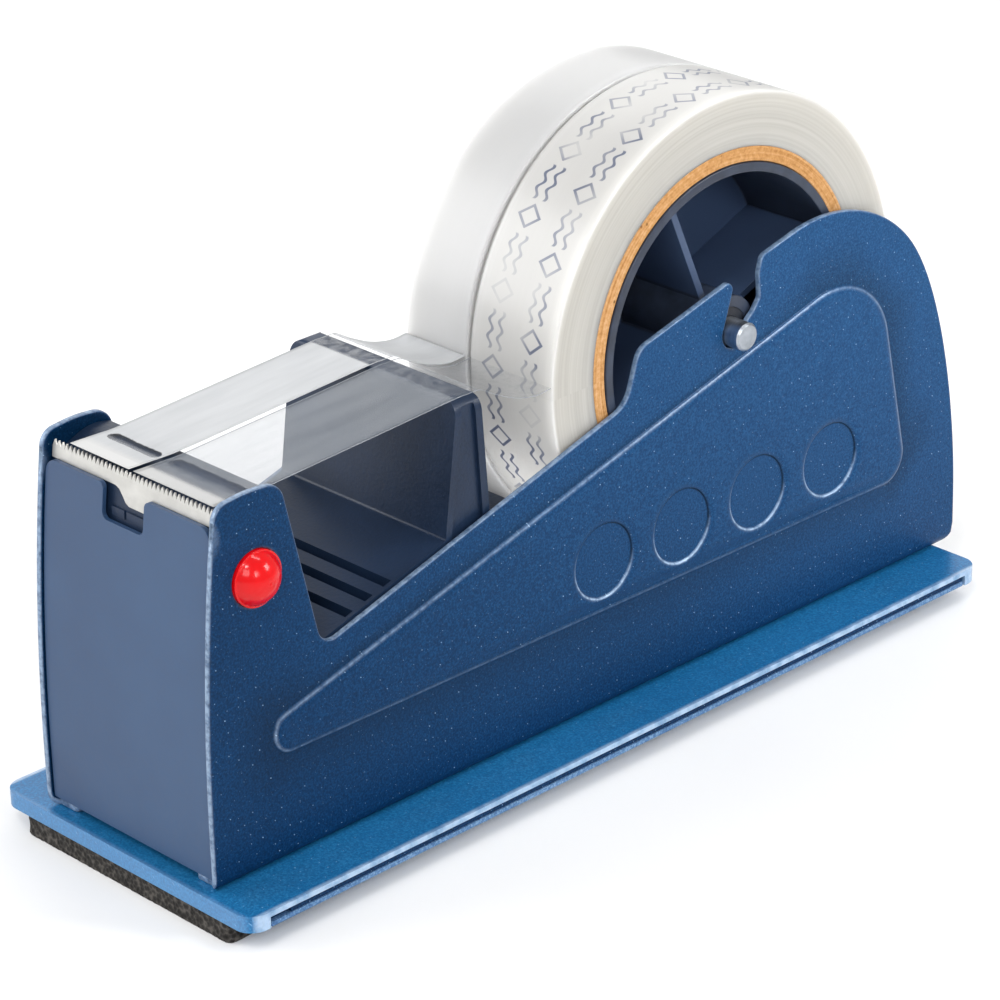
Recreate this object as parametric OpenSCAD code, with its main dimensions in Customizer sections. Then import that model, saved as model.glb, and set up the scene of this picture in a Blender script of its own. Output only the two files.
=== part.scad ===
/* [Base] */
// Width of the base plate
base_w = 82; // [78:1:90]
// Rear end of the base plate, measured from the middle of the object
base_rear = 111; // [108:0.5:114]
// Height of the soft pad under the base
pad_h = 5.0; // [4:0.2:7]
// Corner radius of the base plate in plan
base_r = 4.5; // [3:0.5:7]

/* [Side frame] */
// Outer width across the two side panels
frame_w = 55.8; // [55.4:0.1:57]
// Sheet thickness of the side panels
sheet = 1.5; // [1.2:0.1:1.5]
// Height of the raised field on each side panel
emboss_h = 0.8; // [0.4:0.1:1]
// Radius of the round dimples in the raised field
dimple_r = 8.6; // [6:0.2:10]
// Spacing of the round dimples
dimple_pitch = 24.4; // [22:0.2:25]

/* [Rolls] */
// Outer radius of the tape rolls
roll_r = 54; // [46:0.5:56]
// Outer radius of the paper cores
core_r = 41.5; // [40.5:0.1:42.5]
// Width of the wide roll
roll_wide = 25; // [20:0.5:25]
// Width of the narrow roll
roll_narrow = 19; // [12:0.5:19]
// Radius of the axle
axle_r = 3.25; // [3:0.05:3.25]
// Lean of the axle slots towards the rear, in degrees
slot_tilt = 19; // [18:0.5:19]

/* [Buttons] */
// Radius of the push buttons
button_r = 6.2; // [5.5:0.1:6.2]
// Height of the button dome above the side panel
button_h = 4.4; // [3:0.1:4.5]

/* [Cutter] */
// Number of teeth on the cutter
teeth = 40; // [24:1:44]
// Height of one tooth
tooth_h = 1.5; // [1:0.1:1.8]

/* [Hidden] */
$fn = 96;

half_l = 116.4;                 // half of the overall length
deck = 7.2;                     // underside of the base in the drawing frame
base_z = deck + 3.8;            // top of the base in the drawing frame
cover_t = 1.2;                  // sheet of the base cover
fx = frame_w/2;                 // outer face of a side panel
ix = fx - sheet;                // inner face of a side panel
ax_y = 40.25;                   // axle centre, along the length
ax_z = 88;                      // axle centre, height
slot_hw = axle_r + 0.3;         // half width of an axle slot
hub_x = ix - 0.4;               // half length of the hub
hub_r = 38.0;                   // outer radius of the hub shell
bore_r = 38.1;                  // bore radius of the paper cores
wide_x0 = 0.6;                  // left face of the wide roll
narrow_x1 = -0.8;               // right face of the narrow roll
btn_y = -98.9;                 // button centre, along the length
btn_z = 77.6;                   // button centre, height
btn_travel = 2.5;               // button travel
stem_r = 2.5;                   // button stem radius
fit = 0.06;                     // radial clearance of a running fit
web_t = 0.14;                   // thickness of a tape strip
cut_y = -107.45;                // cutter plane at height cut_z
cut_z = 90.2;
cut_tilt = 7.8;                 // lean of the cutter
tab_x = 2.2;                    // middle of the cutter tab
face_top = 90.7;                // upper edge of the front panel

// A polygon corner list [y, z, r] turned into points with rounded corners
function unit(v) = v/norm(v);
function corner(a, b, c, r, n = 7) = r <= 0 ? [b] :
    let (u = unit(a - b), w = unit(c - b), h = acos(max(-1, min(1, u*w)))/2,
         t = r/tan(h), p = b + u*t, q = b + w*t, m = b + unit(u + w)*(r/sin(h)),
         a0 = atan2(p[1] - m[1], p[0] - m[0]), a1 = atan2(q[1] - m[1], q[0] - m[0]),
         d = ((a1 - a0 + 540) % 360) - 180)
    [for (i = [0:n]) m + r*[cos(a0 + d*i/n), sin(a0 + d*i/n)]];
function xy(p) = [p[0], p[1]];
function rounded(p) = let (k = len(p))
    [for (i = [0:k-1]) each corner(xy(p[(i + k - 1) % k]), xy(p[i]), xy(p[(i + 1) % k]), p[i][2])];

// Corner points along a cubic curve, without its first point
function curve(a, b, c, d, n = 12) = [for (i = [1:n]) let (t = i/n, u = 1 - t)
    concat(u*u*u*a + 3*u*u*t*b + 3*u*t*t*c + t*t*t*d, [0])];

// Front edge of the side panels: upright below, leaning back in a wide arc above
function front_y(z) = -114 + (z > 22 ? pow(z - 22, 2)/1000 : 0);
// Point on an axle slot wall: side -1 front, +1 rear, s along the slot
function slot_pt(side, s) = [ax_y + side*slot_hw*cos(slot_tilt) + s*sin(slot_tilt),
                             ax_z - side*slot_hw*sin(slot_tilt) + s*cos(slot_tilt)];

// Sets the drawing frame down so that the pad rests at height zero
module placed() { translate([0, 0, pad_h - deck]) children(); }
module yz(x0, x1) { translate([x0, 0, 0]) rotate([90, 0, 90]) linear_extrude(x1 - x0) children(); }
module xz(y0, y1) { translate([0, y1, 0]) rotate([90, 0, 0]) linear_extrude(y1 - y0) children(); }
module xcyl(x0, x1, r) { translate([x0, 0, 0]) rotate([0, 90, 0]) cylinder(r = r, h = x1 - x0); }
module at_axle() { translate([0, ax_y, ax_z]) children(); }
module plan(x, y0, y1, r) {
    union() {
        translate([-x + r, y0]) square([2*x - 2*r, y1 - y0]);
        translate([-x, y0 + r]) square([2*x, y1 - y0 - 2*r]);
        for (sx = [-1, 1], p = [y0 + r, y1 - r]) translate([sx*(x - r), p]) circle(r = r);
    }
}

screw_pts = [[-17, -64], [17, -64], [-17, 98], [17, 98]];
module at_screws() { for (p = screw_pts) translate([p[0], p[1], 0]) children(); }

module base_cover() {
    color("steelblue") difference() {
        translate([0, 0, deck]) linear_extrude(3.8) plan(base_w/2, -half_l, base_rear, base_r);
        translate([0, 0, deck - 1]) linear_extrude(1 + 3.8 - cover_t) plan(base_w/2 - cover_t, -half_l + cover_t, base_rear - cover_t, base_r - cover_t);
        translate([-base_w, -half_l + base_r + 1, deck - 1]) cube([2*base_w, base_rear + half_l - 2*base_r - 2, 1 + 3.8 - cover_t]);
        at_screws() translate([0, 0, deck]) cylinder(r = 2.2, h = 5);
    }
}

module ballast_plate() {
    color("midnightblue") difference() {
        translate([0, 0, deck + 1.15]) linear_extrude(3.8 - cover_t - 1.15) plan(base_w/2 - 0.6, -half_l + cover_t + 0.2, base_rear - cover_t - 0.2, base_r - cover_t);
        for (sx = [-1, 1]) translate([sx*(base_w/2) - 2, -half_l, deck + 2.0]) cube([4, half_l + base_rear, 2]);
        translate([0, 0, deck + 1]) difference() {
            linear_extrude(3) square([2*base_w, 4*half_l], center = true);
            linear_extrude(3) union() {
                square([2*base_w, 2*half_l - 2*base_r - 14], center = true);
                plan(base_w/2 - cover_t - 0.3, -half_l + cover_t + 0.2, base_rear - cover_t - 0.2, base_r - cover_t);
            }
        }
        at_screws() translate([0, 0, deck]) cylinder(r = 2.2, h = 5);
    }
}

module bottom_sheet() {
    color("cornflowerblue") difference() {
        translate([0, 0, deck]) linear_extrude(1.1) union() {
            plan(base_w/2 - cover_t - 0.3, -half_l + cover_t + 0.2, base_rear - cover_t - 0.2, base_r - cover_t);
            translate([-base_w/2 + 0.3, -half_l + base_r + 1.5]) square([base_w - 0.6, base_rear + half_l - 2*base_r - 3]);
        }
        at_screws() translate([0, 0, deck - 0.1]) cylinder(r = 2.2, h = 3);
        at_screws() translate([0, 0, deck - 0.1]) cylinder(r = 4.1, h = 1.0);
    }
}

module foam_pad() {
    color("dimgray") translate([0, 0, deck - pad_h]) linear_extrude(pad_h) plan(33.8, -half_l + 0.2, base_rear - 1, 2);
}

module base_screws() {
    color("silver") at_screws() {
        translate([0, 0, deck]) cylinder(r = 3.9, h = 0.85);
        translate([0, 0, deck]) cylinder(r = 1.95, h = base_z - deck + sheet + 3.9);
    }
}

module base_nuts() {
    color("silver") at_screws() translate([0, 0, base_z + sheet]) difference() {
        cylinder(r = 4.0, h = 3.2, $fn = 6);
        translate([0, 0, -1]) cylinder(r = 2.0, h = 6);
    }
}

module side_outline() {
    front = [for (i = [0:9]) let (z = base_z + 8 + i*8.2) [front_y(z), z, 0]];
    polygon(rounded(concat(
        [[-114, base_z, 1.5]], front,
        [[-108.9, 96.0, 4], [-100, 96.9, 30], [-91.4, 96.2, 5],
         [-82.4, 55.8, 4], [6.6, 81.3, 7], [10.6, 93.1, 5]],
        [concat(slot_pt(-1, 12.4), [1.8]), concat(slot_pt(-1, 0), [0]), concat(slot_pt(1, 0), [0]), concat(slot_pt(1, 3), [0]),
         [46.5, 91.2, 1.2], [48.6, 93.8, 1.8], [48.2, 99.6, 4], concat(slot_pt(1, 17.6), [2.2]), [57.5, 105.45, 0]],
        curve([57.5, 105.45], [73.1, 109.9], [88.7, 104.8], [98.4, 93.9]),
        curve([98.4, 93.9], [110.9, 79.9], [half_l, 45], [half_l, 24]),
        [[half_l, base_z, 4.5]])));
}
function field(e) = [[-97 + e, 35.8 + e, 5 - e], [-97 + e, 44.4 - 0.7*e, 4.5 - e], [87.4 - e, 93.7 - 1.2*e, 19.5 - e], [98.8 - 1.1*e, 34 + e, 7 - e]];

module u_section() {
    difference() {
        union() {
            translate([-fx, base_z + 3]) square([2*fx, 110]);
            translate([-fx + 3, base_z]) square([2*fx - 6, 10]);
            for (sx = [-1, 1]) translate([sx*(fx - 3), base_z + 3]) circle(r = 3);
        }
        translate([-ix, base_z + 3]) square([2*ix, 120]);
        translate([-ix + 1.5, base_z + sheet]) square([2*ix - 3, 10]);
        for (sx = [-1, 1]) translate([sx*(ix - 1.5), base_z + 3]) circle(r = 1.5);
    }
}

module frame_channel() {
    color("steelblue") difference() {
        union() {
            intersection() {
                xz(-half_l - 1, half_l + 1) u_section();
                yz(-40, 40) side_outline();
            }
            for (sx = [0, 1]) mirror([sx, 0, 0]) yz(fx - 0.2, fx + emboss_h) polygon(rounded(field(0)));
        }
        for (sx = [0, 1]) mirror([sx, 0, 0]) {
            yz(ix - 0.5, ix + emboss_h) polygon(rounded(field(1.3)));
            for (i = [0:3]) translate([0, -1.65 + i*dimple_pitch, 47.3]) xcyl(fx + emboss_h - 0.7, fx + 3, dimple_r);
            translate([0, btn_y, btn_z]) xcyl(ix - 1, fx + 1, button_r + fit);
        }
        at_axle() xcyl(-40, 40, slot_hw + 0.05);
        // open front of the floor
        translate([-19, -half_l - 1, base_z - 1]) cube([38, 13, sheet + 2]);
        at_screws() translate([0, 0, base_z - 1]) cylinder(r = 2.2, h = sheet + 2);
        for (sx = [-1, 1]) translate([sx*19, -50, base_z - 1]) cylinder(r = 1.6, h = sheet + 2);
        for (sx = [-1, 1]) translate([sx*19, -50, base_z - 0.1]) cylinder(r = 2.9, h = 1.1);
    }
}

module front_panel() {
    face = [for (i = [0:12]) let (z = 13.2 + i*(face_top - 13.2)/12) [front_y(z) + 0.7, z]];
    back = [for (i = [12:-1:0]) let (z = 13.2 + i*(face_top - 13.2)/12) [front_y(z) + 1.7, z]];
    color("slategray") difference() {
        union() {
            yz(-ix + 0.3, ix - 0.3) polygon(concat(face, back));
            translate([-24, -113, 13.2]) cube([48, 11, 1.6]);
        }
        // slot for the cutter tab
        xz(-113, -102) translate([-0.85, 0]) {
            translate([-4.95, 83.15]) square([9.9, 12]);
            translate([-6.55, 84.75]) square([13.1, 12]);
            for (sx = [-1, 1]) translate([sx*4.95, 84.75]) circle(r = 1.6);
            for (sx = [0, 1]) mirror([sx, 0, 0]) difference() {
                translate([6.5, face_top - 1.4]) square([1.45, 3]);
                translate([7.95, face_top - 1.4]) circle(r = 1.4);
            }
        }
        // rounded upper corners
        for (sx = [0, 1]) mirror([sx, 0, 0]) xz(-113, -102) difference() {
            translate([ix - 0.3 - 3, face_top - 3]) square([5, 5]);
            translate([ix - 0.3 - 3, face_top - 3]) circle(r = 3);
        }
    }
}

module insert_skin() {
    polygon(rounded([
        [-107.65, 84.2, 0], [-106.80, 90.4, 0.9], [-97, 94.7, 10], [-90.7, 93.3, 2.2], [-84.4, 58.6, 2.5], [-82.3, 56.2, 2],
        [-45.9, 66.8, 0.8], [-41.5, 97, 1.2], [-34.7, 97, 1.6], [-33, 68, 1], [-24, 68, 0.6],
        [-24, 66.2, 0], [-34.9, 66.2, 1], [-36.4, 95.2, 0.5], [-39.9, 95.2, 0.5], [-44.4, 65.0, 1],
        [-82.0, 54.1, 2], [-86.2, 57.8, 2.5], [-92.2, 91.6, 1], [-97, 92.7, 8], [-105.0, 89.2, 0.5], [-105.6, 84.2, 0]]));
}

module guide_insert() {
    w = ix - 0.3;
    color("darkslategray") difference() {
        intersection() {
            union() {
                yz(-w, w) insert_skin();
                for (sx = [0, 1]) mirror([sx, 0, 0]) {
                    yz(w - 2.5, w - 0.8) polygon([[-45.5, 65.6], [-41.2, 96.6], [-35, 96.6], [-33.4, 66.4]]);
                    yz(15.5, 17.5) polygon([[-105.2, 86], [-105.2, 89.4], [-97, 93.4], [-91, 92.4], [-87.0, 70], [-104, 70]]);
                }
                // posts that stand on the channel floor
                for (sx = [-1, 1]) translate([sx*19, -50, base_z + sheet]) cylinder(r = 3.6, h = 64.4 - base_z - sheet);
                // wall and catches behind the cutter tab
                yz(-9, 9) polygon([[-108.05, 81.3], [-107.62, 84.5], [-105.8, 84.5], [-106.2, 81.3]]);
                for (q = [[-6, 4], [-1.2, 7]]) translate([q[0], -107.95, 83.9]) cube([q[1], 1.6, 2]);
            }
            xz(-130, 0) union() {
                translate([-w, 0]) square([2*w, 93]);
                translate([-w + 4, 0]) square([2*w - 8, 97]);
                for (sx = [-1, 1]) translate([sx*(w - 4), 93]) circle(r = 4);
            }
        }
        // louvres in the sloping floor
        for (y = [-61.8, -67.0, -72.6]) translate([-w + 1, y - 1.1, 50]) cube([2*w - 2, 2.2, 30]);
        for (sx = [0, 1]) mirror([sx, 0, 0]) {
            translate([0, btn_y, btn_z]) xcyl(14, 19, stem_r + fit);
        }
        for (sx = [-1, 1]) translate([sx*19, -50, base_z]) cylinder(r = 1.35, h = 16);
    }
}

module insert_screws() {
    color("silver") for (sx = [-1, 1]) translate([sx*19, -50, base_z]) {
        cylinder(r = 2.7, h = 0.95);
        cylinder(r = 1.3, h = 13);
    }
}

module cutter_blade() {
    half = 25.6;
    p = 2*half/teeth;
    low = 1.7 + 1.2;
    color("gainsboro") translate([0, cut_y, cut_z]) rotate([-cut_tilt, 0, 0]) translate([0, 0.5, 0]) rotate([90, 0, 0]) linear_extrude(0.5) polygon(concat(
        [[-half, 0.4]], [[-half, low]],
        [for (i = [0:teeth-1]) each [[-half + (i + 0.5)*p, low + tooth_h], [-half + (i + 1)*p, low]]],
        [[half, 0.4]], [for (q = [[7.2, 0.4], [5.9, -0.05], [4.6, -1.4], [3.75, -2.45], [2.6, -3]]) q + [tab_x, 0]],
        [for (q = [[2.6, -3], [3.75, -2.45], [4.6, -1.4], [5.9, -0.05], [7.2, 0.4]]) [tab_x - q[0], q[1]]]));
}

module push_button() {
    dome_r = (pow(button_r - 0.35, 2) + pow(button_h - 0.6, 2))/(2*(button_h - 0.6));
    translate([0, btn_y, btn_z]) {
        xcyl(ix - 2, fx + 0.6, button_r);
        intersection() {
            xcyl(fx, fx + button_h, button_r - 0.35);
            translate([fx + button_h - dome_r, 0, 0]) rotate([0, 90, 0]) sphere(r = dome_r);
        }
        xcyl(ix - 2.2, ix - 0.3, 7.4);
        xcyl(12.5, ix - 2, stem_r);
    }
}
module button_right() { color("red") push_button(); }
module button_left() { color("red") mirror([1, 0, 0]) push_button(); }

module button_springs() {
    color("silver") for (sx = [0, 1]) mirror([sx, 0, 0]) translate([17.6, btn_y, btn_z]) rotate([0, 90, 0])
        linear_extrude(height = ix - 2.2 - btn_travel - 17.9, twist = -360*3, slices = 42, $fn = 8) translate([3.7, 0]) circle(r = 0.45, $fn = 8);
}

module axle() {
    color("lightgray") at_axle() rotate([0, 90, 0]) rotate_extrude() polygon([[0, -32], [axle_r - 0.5, -32], [axle_r, -31.5],
        [axle_r, -15.5], [axle_r - 0.4, -15.5], [axle_r - 0.4, -14.5], [axle_r, -14.5],
        [axle_r, 14.5], [axle_r - 0.4, 14.5], [axle_r - 0.4, 15.5], [axle_r, 15.5], [axle_r, 31.5], [axle_r - 0.5, 32], [0, 32]]);
}

module axle_rings() {
    color("gray") at_axle() for (sx = [-1, 1]) translate([sx*15, 0, 0]) difference() {
        xcyl(-0.45, 0.45, axle_r + 1.0);
        xcyl(-1, 1, axle_r - 0.4);
    }
}

module hub() {
    color("midnightblue") at_axle() difference() {
        union() {
            difference() {
                union() {
                    xcyl(-22, hub_x, hub_r);
                    xcyl(-22, -20.3, 40.4);
                }
                xcyl(-30, 30, hub_r - 2.2);
            }
            xcyl(-1.2, 1.2, hub_r - 1);
        }
        xcyl(-30, 30, 8.05);
    }
}

// Boss and ribs that sit in the right half of the hub shell
module hub_spider() {
    color("midnightblue") at_axle() difference() {
        union() {
            xcyl(-hub_x, hub_x, 8);
            for (a = [22:90:292]) rotate([a, 0, 0]) translate([1.25, -0.9, 6]) cube([19.75, 1.8, hub_r - 2.2 - 0.07 - 6]);
        }
        xcyl(-30, 30, 4.6);
        xcyl(16, 30, 5.4);
        xcyl(-30, -16, 5.4);
    }
}

module hub_bushes() {
    color("tan") at_axle() for (sx = [0, 1]) mirror([sx, 0, 0]) difference() {
        xcyl(16, hub_x, 5.4);
        xcyl(10, 30, axle_r + fit);
    }
}

module ring(x0, x1, r0, r1) { at_axle() difference() { xcyl(x0, x1, r1); xcyl(x0 - 1, x1 + 1, r0); } }
module core_wide() { color("burlywood") ring(wide_x0, wide_x0 + roll_wide, bore_r, core_r); }
module core_narrow() { color("burlywood") ring(narrow_x1 - roll_narrow, narrow_x1, bore_r, core_r); }
module tape_roll_wide() { color("gainsboro") ring(wide_x0, wide_x0 + roll_wide, core_r + 0.02, roll_r); }
module tape_roll_narrow() { color("whitesmoke") ring(narrow_x1 - roll_narrow, narrow_x1, core_r + 0.02, roll_r); }

// Run of a tape strip: from the roll, over the tower and the nose, to the cutter
web_path = [[ax_y - roll_r - 0.35, 91.0], [-17.8, 90.75], [-21, 91.2], [-25, 92.4], [-30, 94.8], [-33.6, 96.9], [-35.2, 97.35],
    [-42, 97.35], [-94, 94.75], [-106.9, 95.1]];
module web_profile() {
    k = len(web_path);
    polygon(concat(web_path, [for (i = [k-1:-1:0]) web_path[i] + [0, web_t]]));
}
module tape_web_wide() { color("white", 0.5) yz(wide_x0, wide_x0 + roll_wide) web_profile(); }
module tape_web_narrow() { color("white", 0.5) yz(narrow_x1 - roll_narrow, narrow_x1) web_profile(); }

placed() base_cover();
placed() ballast_plate();
placed() bottom_sheet();
placed() foam_pad();
placed() base_screws();
placed() base_nuts();
placed() frame_channel();
placed() front_panel();
placed() guide_insert();
placed() insert_screws();
placed() cutter_blade();
placed() button_right();
placed() button_left();
placed() button_springs();
placed() axle();
placed() axle_rings();
placed() hub();
placed() hub_spider();
placed() hub_bushes();
placed() core_wide();
placed() core_narrow();
placed() tape_roll_wide();
placed() tape_roll_narrow();
placed() tape_web_wide();
placed() tape_web_narrow();
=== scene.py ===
import math
import random
import bpy
import bmesh
import numpy as np
from mathutils import Matrix, Vector
from mathutils.geometry import delaunay_2d_cdt


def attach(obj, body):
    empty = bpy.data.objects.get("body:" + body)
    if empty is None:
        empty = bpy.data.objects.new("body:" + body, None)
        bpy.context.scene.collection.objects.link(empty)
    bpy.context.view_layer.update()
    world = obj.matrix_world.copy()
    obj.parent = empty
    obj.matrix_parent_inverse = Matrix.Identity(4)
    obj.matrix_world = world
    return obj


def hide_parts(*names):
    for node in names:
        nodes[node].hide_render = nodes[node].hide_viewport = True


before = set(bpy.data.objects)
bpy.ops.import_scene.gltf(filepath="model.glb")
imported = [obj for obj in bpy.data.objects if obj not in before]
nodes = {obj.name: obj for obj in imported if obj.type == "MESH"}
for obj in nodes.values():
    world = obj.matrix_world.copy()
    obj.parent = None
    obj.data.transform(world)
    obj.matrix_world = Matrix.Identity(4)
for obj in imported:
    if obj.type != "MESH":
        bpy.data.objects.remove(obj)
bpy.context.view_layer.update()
scene = bpy.context.scene
random.seed(7)
rng = np.random.default_rng(7)

MM = 0.001
DROP = 2.2            # drawing height minus height over the floor, mm
AX_Y, AX_Z = 40.25, 88.0
FX, SHEET = 27.9, 1.5
ROLL_R, CORE_R, BORE_R = 54.0, 41.5, 38.1
WIDE = (0.6, 25.6)
NARROW = (-19.8, -0.8)


def pt(x, y, z):
    return Vector((x * MM, y * MM, (z - DROP) * MM))


# ---------------------------------------------------------------- materials
def lin(h):
    out = []
    for i in (0, 2, 4):
        c = int(h[i:i + 2], 16) / 255
        out.append(c / 12.92 if c <= 0.04045 else ((c + 0.055) / 1.055) ** 2.4)
    return tuple(out) + (1.0,)


class Mat:
    def __init__(self, name):
        self.m = bpy.data.materials.new(name)
        self.m.use_nodes = True
        self.t = self.m.node_tree
        self.t.nodes.clear()
        self.out = self.t.nodes.new("ShaderNodeOutputMaterial")
        self.p = self.t.nodes.new("ShaderNodeBsdfPrincipled")
        self.t.links.new(self.p.outputs["BSDF"], self.out.inputs["Surface"])
        self.tc = self.t.nodes.new("ShaderNodeTexCoord")
        self.obj = self.tc.outputs["Object"]

    def node(self, kind, **kw):
        n = self.t.nodes.new(kind)
        for k, v in kw.items():
            setattr(n, k, v)
        return n

    def link(self, a, b):
        self.t.links.new(a, b)

    def val(self, **kw):
        for k, v in kw.items():
            self.p.inputs[k.replace("_", " ")].default_value = v
        return self

    def noise(self, scale, detail=2.0, rough=0.5, vec=None, distort=0.0):
        n = self.node("ShaderNodeTexNoise")
        n.inputs["Scale"].default_value = scale
        n.inputs["Detail"].default_value = detail
        n.inputs["Roughness"].default_value = rough
        n.inputs["Distortion"].default_value = distort
        self.link(vec or self.obj, n.inputs["Vector"])
        return n.outputs["Fac"]

    def voronoi(self, scale, vec=None, feature="F1", randomness=1.0):
        n = self.node("ShaderNodeTexVoronoi", feature=feature)
        n.inputs["Scale"].default_value = scale
        n.inputs["Randomness"].default_value = randomness
        self.link(vec or self.obj, n.inputs["Vector"])
        return n

    def mapping(self, scale, vec=None):
        n = self.node("ShaderNodeMapping")
        n.inputs["Scale"].default_value = scale
        self.link(vec or self.obj, n.inputs["Vector"])
        return n.outputs["Vector"]

    def ramp(self, fac, stops, interp="LINEAR"):
        n = self.node("ShaderNodeValToRGB")
        n.color_ramp.interpolation = interp
        e = n.color_ramp.elements
        while len(e) > 1:
            e.remove(e[-1])
        e[0].position, e[0].color = stops[0]
        for pos, col in stops[1:]:
            k = e.new(pos)
            k.color = col
        self.link(fac, n.inputs["Fac"])
        return n.outputs["Color"]

    def range(self, fac, a, b, c, d, smooth=False):
        n = self.node("ShaderNodeMapRange")
        if smooth:
            n.interpolation_type = "SMOOTHSTEP"
        n.inputs["From Min"].default_value = a
        n.inputs["From Max"].default_value = b
        n.inputs["To Min"].default_value = c
        n.inputs["To Max"].default_value = d
        self.link(fac, n.inputs["Value"])
        return n.outputs["Result"]

    def math(self, op, a, b=None, c=None):
        n = self.node("ShaderNodeMath", operation=op)
        for i, v in enumerate((a, b, c)):
            if v is None:
                continue
            if isinstance(v, (int, float)):
                n.inputs[i].default_value = v
            else:
                self.link(v, n.inputs[i])
        return n.outputs[0]

    def mix(self, fac, a, b):
        n = self.node("ShaderNodeMix", data_type="RGBA")
        for sock, v in ((n.inputs[0], fac), (n.inputs[6], a), (n.inputs[7], b)):
            if isinstance(v, (int, float, tuple)):
                sock.default_value = v
            else:
                self.link(v, sock)
        return n.outputs[2]

    def bump(self, height, strength, dist, prev=None):
        n = self.node("ShaderNodeBump")
        n.inputs["Strength"].default_value = strength
        n.inputs["Distance"].default_value = dist
        self.link(height, n.inputs["Height"])
        if prev is not None:
            self.link(prev, n.inputs["Normal"])
        return n.outputs["Normal"]

    def color(self, sock):
        self.link(sock, self.p.inputs["Base Color"])
        return self

    def rough(self, sock):
        self.link(sock, self.p.inputs["Roughness"])
        return self

    def normal(self, sock):
        self.link(sock, self.p.inputs["Normal"])
        return self

    def xyz(self, vec=None):
        n = self.node("ShaderNodeSeparateXYZ")
        self.link(vec or self.obj, n.inputs[0])
        return n.outputs[0], n.outputs[1], n.outputs[2]

    def polar(self):
        """x, radius and angle about the axle, in metres and radians."""
        x, y, z = self.xyz()
        dy = self.math("SUBTRACT", y, AX_Y * MM)
        dz = self.math("SUBTRACT", z, (AX_Z - DROP) * MM)
        r = self.math("SQRT", self.math("ADD", self.math("MULTIPLY", dy, dy), self.math("MULTIPLY", dz, dz)))
        return x, r, self.math("ARCTAN2", dz, dy)

    def combine(self, x, y, z):
        n = self.node("ShaderNodeCombineXYZ")
        for i, v in enumerate((x, y, z)):
            if isinstance(v, (int, float)):
                n.inputs[i].default_value = v
            else:
                self.link(v, n.inputs[i])
        return n.outputs[0]


def blue_paint(name, dark, mid, light, rough=(0.34, 0.46), spec=0.12, metal=0.25, painted_light_and_gloss=False, lip=False):
    """Metallic powder coat: fine grain, small bright flakes and a pebbled surface."""
    m = Mat(name)
    x, y, z = m.xyz()
    flat = m.combine(m.math("ADD", y, m.math("MULTIPLY", z, 0.35)), m.math("ADD", z, x), 0.0)
    grain = m.noise(2000, 2.0, 0.6)
    cloud = m.noise(16, 2.0, 0.5)
    col = m.ramp(m.math("ADD", m.math("MULTIPLY", grain, 0.8), m.math("MULTIPLY", cloud, 0.2)),
                 [(0.34, lin(dark)), (0.5, lin(mid)), (0.66, lin(light))])
    if painted_light_and_gloss:
        # painted light: the panel colour is mixed towards a lighter blue towards the rear and the top, where more light
        # falls
        lit_gradient = m.math("ADD", m.math("MULTIPLY", m.math("ADD", y, 0.08), 3.1), m.math("MULTIPLY", m.math("MULTIPLY", m.math("SUBTRACT", z, 0.023), 8.0), m.range(y, -0.1, -0.02, 0.1, 1.0)))
        tone = m.ramp(grain, [(0.34, lin("143e6a")), (0.5, lin("1a4875")), (0.66, lin("265886"))])
        col = m.mix(m.range(lit_gradient, 0.0, 1.0, 0.0, 1.0), col, tone)
    for scale, big, power in ((400, 0.075, 0.7), (900, 0.09, 0.2)):
        v = m.voronoi(scale, flat)
        v.voronoi_dimensions = "2D"
        pick = m.node("ShaderNodeSeparateXYZ")
        m.link(v.outputs["Color"], pick.inputs[0])
        size = m.range(pick.outputs[0], 0.0, 1.0, big * 0.35, big)
        dot = m.range(m.math("SUBTRACT", size, v.outputs["Distance"]), 0.0, 0.03, 0.0, 1.0)
        dot = m.math("MULTIPLY", dot, m.range(pick.outputs[1], 0.35, 1.0, 0.0, power))
        col = m.mix(dot, col, lin("a8cbe8"))
    if painted_light_and_gloss:
        # painted highlight: lighter paint, broken up by noise, where the mesh attribute marks the sheet edges, the
        # emboss shoulder and the lower dimple rims
        w = m.node("ShaderNodeAttribute", attribute_name="painted_edge_highlight")
        ragged = m.math("MULTIPLY", w.outputs["Fac"], m.range(m.noise(700, 2.0, 0.6), 0.3, 0.6, 0.2, 0.6))
        col = m.mix(m.math("MINIMUM", ragged, 0.9), col, lin("b4cdea"))
        # painted shade: darker paint where the mesh attribute marks the line outside the emboss edge, the upper dimple
        # rims and the inner face
        k = m.node("ShaderNodeAttribute", attribute_name="painted_edge_shade")
        col = m.mix(m.range(k.outputs["Fac"], 0.0, 1.0, 0.0, 0.8), col, lin("01101f"))
        g = m.node("ShaderNodeAttribute", attribute_name="ridge_gloss")
        m.link(m.range(g.outputs["Fac"], 0.0, 1.0, 0.01, 0.5), m.p.inputs["Coat Weight"])
        m.val(Coat_Roughness=0.12)
    if lip:
        # painted light: the front-facing lip is mixed towards a lighter blue
        col = m.mix(m.range(y, -0.1152, -0.1160, 0.0, 0.25), col, lin("86a6ca"))
        # painted highlight along the deck's long side edges, broken up by noise
        rim = m.math("MULTIPLY", m.range(m.math("ABSOLUTE", x), 0.0398, 0.0406, 0.0, 1.0), m.range(m.noise(240, 3.0, 0.6), 0.3, 0.6, 0.25, 0.75))
        col = m.mix(rim, col, lin("b9d0e8"))
        m.link(m.range(m.math("ABSOLUTE", x), 0.0396, 0.0404, 0.0, 0.8), m.p.inputs["Coat Weight"])
        m.val(Coat_Roughness=0.14)
    m.color(col)
    m.rough(m.range(grain, 0.3, 0.7, rough[0], rough[1]))
    m.val(Metallic=metal, Specular_IOR_Level=spec)
    n1 = m.bump(m.noise(1000, 2.0, 0.5), 0.16, 0.00025)
    m.normal(m.bump(grain, 0.14, 0.00012, n1))
    return m.m


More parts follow.
